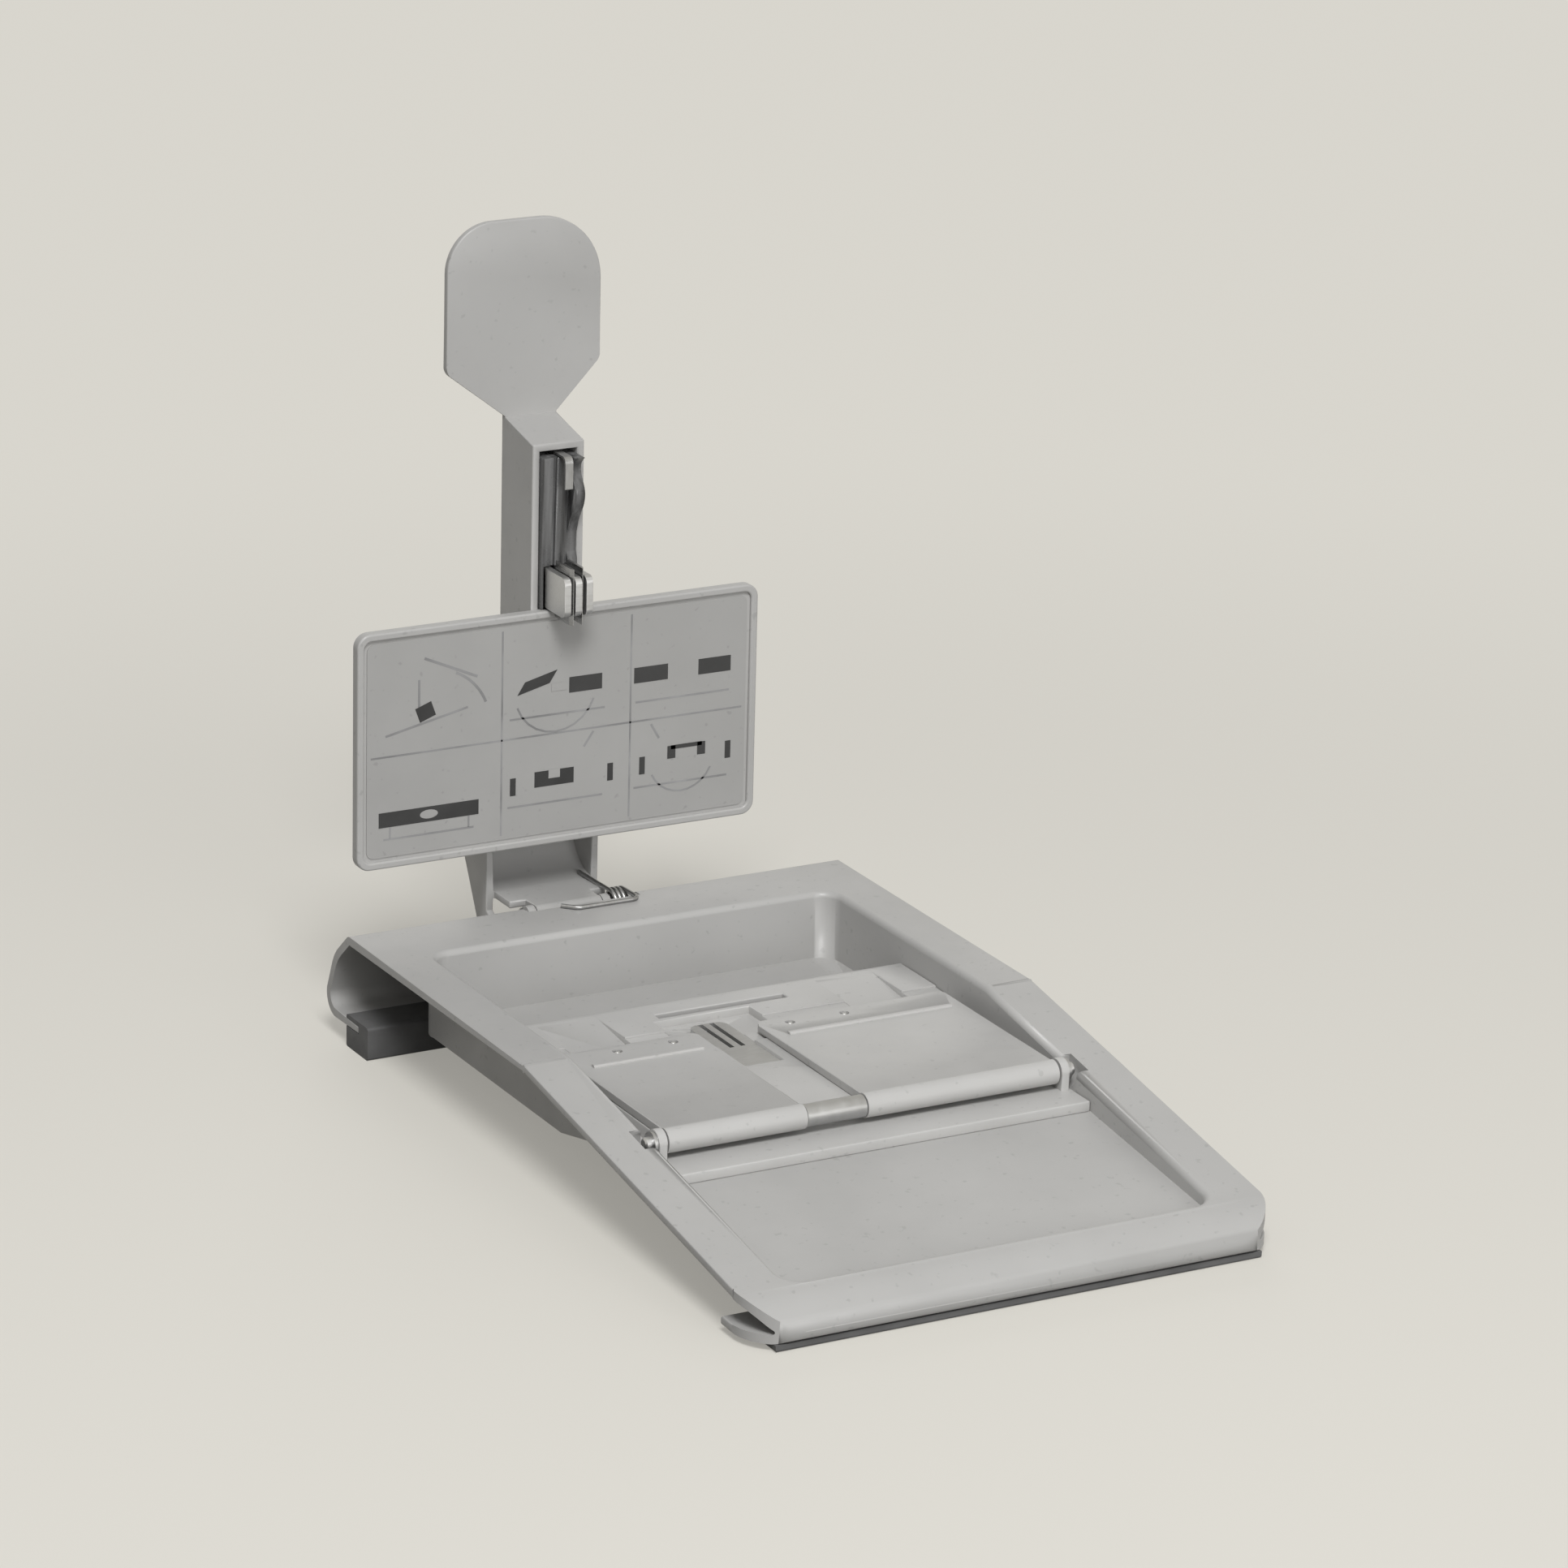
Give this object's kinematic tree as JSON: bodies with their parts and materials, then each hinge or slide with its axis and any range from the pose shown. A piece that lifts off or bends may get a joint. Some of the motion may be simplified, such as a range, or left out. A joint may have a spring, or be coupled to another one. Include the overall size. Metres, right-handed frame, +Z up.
{
  "type": "film splicer",
  "caption": "Desktop film splicer with a pressed sheet base, two hinged film flaps, a cutting anvil and a swing arm that carries a lid plate, blades and a finger paddle.",
  "frame": {"origin": "under the middle of the whole splicer, on the surface that its foot strips stand on", "axes": "+Z up, +Y from the finger scoop to the hinge at the rear, +X to the right"},
  "size_m": [0.078, 0.1372, 0.1126],
  "materials": {
    "grey_paint": "satin stoved enamel",
    "light_casting": "fine satin enamel",
    "foot_rubber": "matt",
    "zinc_steel": "bright zinc",
    "ground_steel": "ground",
    "spring_steel": "bright drawn",
    "label_foil": "satin print ground",
    "black_plastic": "fine moulded",
    "blade_steel": "honed edge"
  },
  "bodies": {
    "base": {"base_shell": "grey_paint", "front_foot_strip": "foot_rubber", "rear_foot_strip": "foot_rubber", "film_bed": "light_casting", "bed_screws": "zinc_steel", "cutting_anvil": "ground_steel", "anvil_screw": "zinc_steel", "registration_pins": "ground_steel", "flap_axle": "ground_steel", "axle_clips": "zinc_steel", "axle_spacer": "zinc_steel", "hinge_bracket": "grey_paint", "hinge_pin": "zinc_steel", "hinge_pin_clip": "zinc_steel", "arm_return_spring": "spring_steel"},
    "arm": {"swing_arm": "grey_paint", "lid_plate": "grey_paint", "instruction_label": "label_foil", "blade_carrier": "black_plastic", "carrier_screws": "zinc_steel", "blade_left": "blade_steel", "blade_right": "blade_steel", "pad_spring": "spring_steel"},
    "pad": {"pressure_pad": "ground_steel"},
    "flap_left": {"film_flap_left": "light_casting"},
    "flap_right": {"film_flap_right": "light_casting"}
  },
  "joints": [
    {"name": "arm_hinge", "type": "hinge", "parent": "base", "child": "arm", "pos_m": [-0.0044, 0.05347, 0.0148], "axis": [1, 0, 0], "range_deg": [0, 90], "stiffness_Nm_per_rad": 0.02, "springref_deg": -22.92, "deforming": ["arm_return_spring"]},
    {"name": "pad_slide", "type": "slide", "parent": "arm", "child": "pad", "axis": [0, 1, 0], "range_m": [0, 0.0015], "stiffness_N_per_m": 300, "springref_m": -0.002, "deforming": ["pad_spring"]},
    {"name": "flap_left_hinge", "type": "hinge", "parent": "base", "child": "flap_left", "pos_m": [-0.0193, -0.02473, 0.012], "axis": [1, 0, 0], "range_deg": [0, 165]},
    {"name": "flap_right_hinge", "type": "hinge", "parent": "base", "child": "flap_right", "pos_m": [0.0149, -0.02473, 0.012], "axis": [1, 0, 0], "range_deg": [0, 165]}
  ]
}
